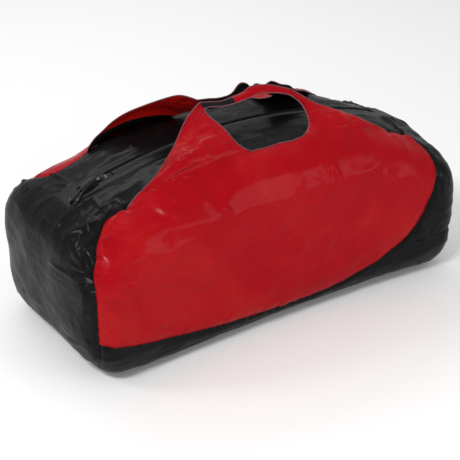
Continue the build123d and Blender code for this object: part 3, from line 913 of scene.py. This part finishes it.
def soften_foot(panel_points, leg_points, a, b):
    """Smooths the sheet along its columns where the leg leaves the panel."""
    ahead = panel_points[a:b + 1, -SOFT_ROWS:].transpose(1, 0, 2)
    run = np.concatenate([ahead, leg_points[1:SOFT_ROWS + 1]])
    weight = np.sin(pi * steps(len(run)))[:, None, None]
    weight = weight * np.sqrt(np.sin(pi * steps(b + 1 - a)))[None, :, None]
    for _ in range(SOFT_PASSES):
        run[1:-1] += weight[1:-1] * 0.5 * ((run[:-2] + run[2:]) / 2 - run[1:-1])
    panel_points[a:b + 1, -SOFT_ROWS:] = run[:SOFT_ROWS].transpose(1, 0, 2)
    leg_points[:SOFT_ROWS + 1] = run[SOFT_ROWS - 1:]


def lining_grid(panel_points, panel, leg_points, leg_normals, foot, rows=None):
    """The lining of one leg, from a little way down inside the panel."""
    a, b = foot
    below = slice(-12, -1)
    inside = panel_points[a:b + 1, below].transpose(1, 0, 2)
    normals = body_normals(panel[a:b + 1, below].reshape(-1, 3))
    normals = normals.reshape(b + 1 - a, -1, 3).transpose(1, 0, 2)
    points = np.concatenate([inside, leg_points[:rows]])
    return points - np.concatenate([normals, leg_normals[:rows]]) * LINING_GAP


def add_lining(side, panel, raised, legs, leg_normals, marks, strip, strip_normals):
    """The handle's lining. On the back's right leg a sheet of brighter red shows above it, a painted glow
    for light shining through the thin red cloth.
    """
    lined = int(LINED[side] * len(legs[1]))
    linings = [lining_grid(raised, panel, legs[0], leg_normals[0], marks[:2]),
               strip - strip_normals * LINING_GAP,
               lining_grid(raised, panel, legs[1], leg_normals[1], marks[2:], lined)]
    # Above the lining, the back's right leg gets a sheet of the red with the painted glow.
    if side == "back":
        rest = slice(lined - 1, None)
        linings.append(legs[1][rest] - leg_normals[1][rest] * LINING_GAP)
    parts = [(grid, arc_uv(grid)) for grid in linings]
    lining = join_sheet(f"{side}_handle_lining", parts, FACING, GLOW_PAINTED_RED, slots=[0, 0, 0, 1])
    fold_with_handle(lining)


def add_bindings(side, raised, legs, marks, strip):
    """Folded tape along the handle's outer edge and round the hand's opening."""
    outer = np.vstack([legs[0][:, 0], strip[1:, 0], legs[1][::-1, -1][1:]])
    opening = np.vstack([legs[0][:, -1], strip[1:, -1], legs[1][::-1, 0][1:],
                         raised[marks[1]:marks[2] + 1, -1][::-1]])
    for edge_name, edge in (("outer", outer), ("opening", opening)):
        bead = tube(f"{side}_{edge_name}_binding", edge, BINDING_RADIUS, TRIM)
        fold_with_handle(bead)
        if edge_name == "outer":
            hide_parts(f"{side}_handle_binding")


def build_side(side, turn, handle):
    """One red side sheet with its handle, the handle's lining and the bindings along its edges."""
    feet = handle["feet"]
    xs = side_columns(feet)
    panel = strip_grid(xs, side_low, side_high, PANEL_ROWS)
    panel_uv = arc_uv(panel)
    panel_uv[..., 0] = xs[:, None]
    below = panel_uv[:, -1:, 1] - panel_uv[..., 1]
    pulled = foot_lift(panel[..., 0].ravel(), feet) * np.exp(-(below.ravel() / FOOT_REACH)**2)
    panel = turn(panel)
    raised = lifted(panel, cloth_height(panel.reshape(-1, 3)) + pulled)
    left, middle, right = [turn(grid) for grid in handle_grids(handle)]
    marks = [int(np.abs(xs - foot).argmin()) for foot in feet]
    legs, leg_uvs, leg_normals = [], [], []
    for leg, (a, b) in ((left, marks[:2]), (right, marks[2:])):
        normals = blended_normals(leg)
        moved = lifted(leg, handle_height(leg, foot_lift(xs[a:b + 1], feet)), normals)
        moved[0] = raised[a:b + 1, -1]
        legs.append(moved)
        leg_normals.append(normals)
        leg_uvs.append(leg_uv(leg, panel_uv[a:b + 1, -1, 0], panel_uv[a:b + 1, -1, 1]))
    for moved, (a, b) in zip(legs, (marks[:2], marks[2:])):
        soften_foot(raised, moved, a, b)
    across, along = steps(LEG_COLUMNS), steps(len(middle))[:, None]
    round_over = STRIP_ROUND * np.sin(pi * across) * np.sin(pi * along)
    strip_normals = grid_normals(middle)
    strip = lifted(middle, round_over.ravel(), strip_normals)
    strip[0], strip[-1] = legs[0][-1], legs[1][-1][::-1]
    strip_uv = arc_uv(strip)
    parts = [(raised, panel_uv), (legs[0], leg_uvs[0]), (legs[1], leg_uvs[1]),
             (strip[:TWIST + 1], strip_uv[:TWIST + 1]), (strip[TWIST:], strip_uv[TWIST:])]
    sheet = join_sheet(f"{side}_side_sheet", parts, RED, FACING, slots=[0, 0, 0, int(side == "front"), 0])
    outward(sheet, turn((0, -134, 150)))
    thicken(sheet)
    fold_with_handle(sheet)
    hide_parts(f"{side}_panel", f"{side}_handle_legs", f"{side}_grip")
    add_lining(side, panel, raised, legs, leg_normals, marks, strip, strip_normals)
    add_bindings(side, raised, legs, marks, strip)


build_side("front", lambda g: g, FRONT_HANDLE)
build_side("back", half_turn, BACK_HANDLE)

# ---- the base ----
BASE_COLUMNS, BASE_ROWS = 241, 64
BASE_CROWD = 0.62  # below 1 the rows stand closer together near the seam
base_xs = np.linspace(-END_SEAM, END_SEAM, BASE_COLUMNS)
base_grid = strip_grid(base_xs, None, lambda x: {"z": base_z(x)}, BASE_ROWS, BASE_CROWD)
base_uv = arc_uv(base_grid)
base_uv[..., 0] = base_xs[:, None]
base_parts = []
for grid in (base_grid, half_turn(base_grid)):
    grid = lifted(grid)
    grid[..., 2] = np.maximum(grid[..., 2], FLOOR_GAP)
    base_parts.append((grid, base_uv))
base = join_sheet("base_sheet", base_parts, BLACK)
outward(base, (0, -134, 15))
thicken(base)
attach(base, "bag")
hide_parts("bottom_panel")

# ---- the ends ----
WRAP_ROWS, WRAP_COLUMNS = 84, 60
LOW_ROWS = 30
TOP_ROWS = 56
RIM_ROWS = 22
CAP_RINGS = 46
CAP_BULGE = 5


def unrolled(curve, count):
    """A seam in (x, z) as (x, length round the section)."""
    return even(np.stack([curve[:, 0], [arc_at(x, z=z) for x, z in curve]], 1), count)


def wrap_grid():
    """The end panel's front part, between the sweeping seam and the end ring."""
    ring_low, ring_high = arc_at(END_SEAM, z=CORNER_LOW), arc_at(END_SEAM, y=TOP_SEAM)
    upright = straight((END_SEAM, ring_low), (END_SEAM, ring_high), WRAP_ROWS)
    top_x = np.linspace(TOP_SEAM_END, END_SEAM, WRAP_COLUMNS)
    over = np.stack([top_x, [arc_at(x, y=TOP_SEAM) for x in top_x]], 1)
    flat = coons(unrolled(BASE_END, WRAP_COLUMNS), unrolled(END_CURVE, WRAP_ROWS), upright, over)
    return np.array([[place(x, s) for x, s in row] for row in flat])


def ring_at(x, front, back):
    """The section at x, up the front, over and down the back, at shares of each half's length."""
    y, z, along = section_curve(x)
    sides = []
    for shares, sign in ((front, 1), (back, -1)):
        want = shares * along[-1]
        points = [np.full(len(want), x), sign * np.interp(want, along, y), np.interp(want, along, z)]
        sides.append(np.stack(points, 1))
    return np.vstack([sides[0], sides[1][-2::-1]])


def cap_grid():
    """Rings from the end seam over the rounded edge, then in to the middle of the end."""
    total = section_curve(END_SEAM)[2][-1]
    low, high = arc_at(END_SEAM, z=CORNER_LOW) / total, arc_at(END_SEAM, y=TOP_SEAM) / total
    shoulder_low = arc_at(END_SEAM, z=LEFT_SEAM[0, 1]) / total
    front = np.concatenate([np.linspace(0, low, LOW_ROWS)[:-1], np.linspace(low, high, WRAP_ROWS)[:-1],
                            np.linspace(high, 1, TOP_ROWS)])
    back = np.concatenate([np.linspace(0, low, LOW_ROWS)[:-1], np.linspace(low, shoulder_low, 36)[:-1],
                           np.linspace(shoulder_low, 1, TOP_ROWS)])
    rim_xs = END_SEAM + (END_FACE - END_SEAM) * np.sin(np.linspace(0, pi / 2, RIM_ROWS))
    rings = [ring_at(x, front, back) for x in rim_xs]
    rim = rings[-1]
    middle = np.array([END_FACE, 0, rim[:, 2].mean()])
    for k in np.linspace(1, 0.01, CAP_RINGS)[1:]:
        ring = middle + (rim - middle) * k
        ring[:, 0] += CAP_BULGE * (1 - k**2)
        rings.append(ring)
    return np.array(rings)


def slot_edge(x):
    return {"y": ZIP_SLOT * share_of(SLOT_END - abs(x), 0, SLOT_TAPER)}


def at_top_seam(x):
    return {"y": TOP_SEAM}


def shoulder_start(x):
    return side_high(x) if x < -TOP_SEAM_END else at_top_seam(x)


wrap = wrap_grid()
cap = cap_grid()
cap_normals = body_normals(cap.reshape(-1, 3)).reshape(cap.shape)
cap_normals[RIM_ROWS:] = [1, 0, 0]
cap_uv = cap[..., 1:] + [0, 400]
top_xs = np.concatenate([np.linspace(-END_SEAM, -SLOT_END, 22)[:-1], np.linspace(-SLOT_END, -FLAP_HALF, 24)])
shoulder = strip_grid(top_xs, shoulder_start, slot_edge, TOP_ROWS)
plain = strip_grid(top_xs, at_top_seam, slot_edge, TOP_ROWS) * [1, -1, 1]
for side, turn, sign in (("right", lambda g: g, 1), ("left", half_turn, -1)):
    parts = []
    for grid, uv, normals in ((turn(wrap), arc_uv(wrap), None), (turn(cap), cap_uv, turn(cap_normals)),
                              (turn(half_turn(shoulder)), arc_uv(shoulder), None),
                              (turn(half_turn(plain)), arc_uv(plain) * [1, -1], None)):
        grid = lifted(grid, None, normals)
        grid[..., 2] = np.maximum(grid[..., 2], FLOOR_GAP)
        parts.append((grid, uv))
    end = join_sheet(f"{side}_end_sheet", parts, BLACK)
    outward(end, (sign * HALF, 0, 130))
    thicken(end, rim=False)
    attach(end, "bag")
    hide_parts(f"{side}_end_panel", f"top_{side}_panel")

# ---- the top flaps beside the zip ----
FLAP_COLUMNS = 160
flap_xs = np.linspace(-FLAP_HALF, FLAP_HALF, FLAP_COLUMNS)
flap_grid = strip_grid(flap_xs, at_top_seam, slot_edge, TOP_ROWS)
flap_uv = arc_uv(flap_grid)
for side, turn, sign in (("front", lambda g: g, -1), ("back", half_turn, 1)):
    flap = join_sheet(f"{side}_top_sheet", [(lifted(turn(flap_grid)), flap_uv)], BLACK)
    outward(flap, (0, sign * 40, 245))
    thicken(flap, rim=False)
    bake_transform(flap)
    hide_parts(f"{side}_flap")

# ---- better materials for the pieces kept from the frame ----
KEPT = {"front_zip_tape": TAPE, "back_zip_tape": TAPE, "left_zip_end": TAPE, "right_zip_end": TAPE,
        "front_zip_coil": COIL, "back_zip_coil": COIL, "left_zip_end_coil": COIL, "right_zip_end_coil": COIL,
        "left_zip_stop": METAL, "right_zip_stop": METAL, "slider_body": METAL, "zip_pull": METAL,
        "pull_cord_knots": KNOB, "bar_tacks": THREAD}
for node_name, made in KEPT.items():
    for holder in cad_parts[node_name].material_slots:
        holder.material = made

# ---- floor and light ----
floor_material, _ = material("floor_paper", (0.94, 0.94, 0.94), 0.7, specular=0.2)
floor_mesh = bpy.data.meshes.new("floor")
floor_mesh.from_pydata([(-8, -8, 0), (8, -8, 0), (8, 8, 0), (-8, 8, 0)], [], [(0, 1, 2, 3)])
floor_mesh.materials.append(floor_material)
floor = add_object("floor", floor_mesh)

world = bpy.data.worlds.new("studio")
world.use_nodes = True
background = world.node_tree.nodes["Background"].inputs
background["Color"].default_value = (1, 1, 1, 1)
background["Strength"].default_value = 0.55
bpy.context.scene.world = world
bpy.context.scene.view_settings.view_transform = "Standard"


def lamp(name, place_at, aim, energy, size):
    data = bpy.data.lights.new(name, "AREA")
    data.energy = energy
    data.shape = "RECTANGLE"
    data.size, data.size_y = size
    aim_from(add_object(name, data), place_at, aim)


lamp("key", (-1.5, -0.9, 1.9), (0, 0, 0.12), 28, (0.6, 0.35))
lamp("fill", (1.2, -2.2, 0.9), (0, 0, 0.15), 16, (1.6, 1.0))
lamp("rim", (0.3, 1.7, 1.8), (0, 0, 0.2), 12, (1.6, 0.6))
lamp("side", (-1.8, 0.8, 1.5), (-0.2, 0, 0.15), 8, (0.45, 0.45))
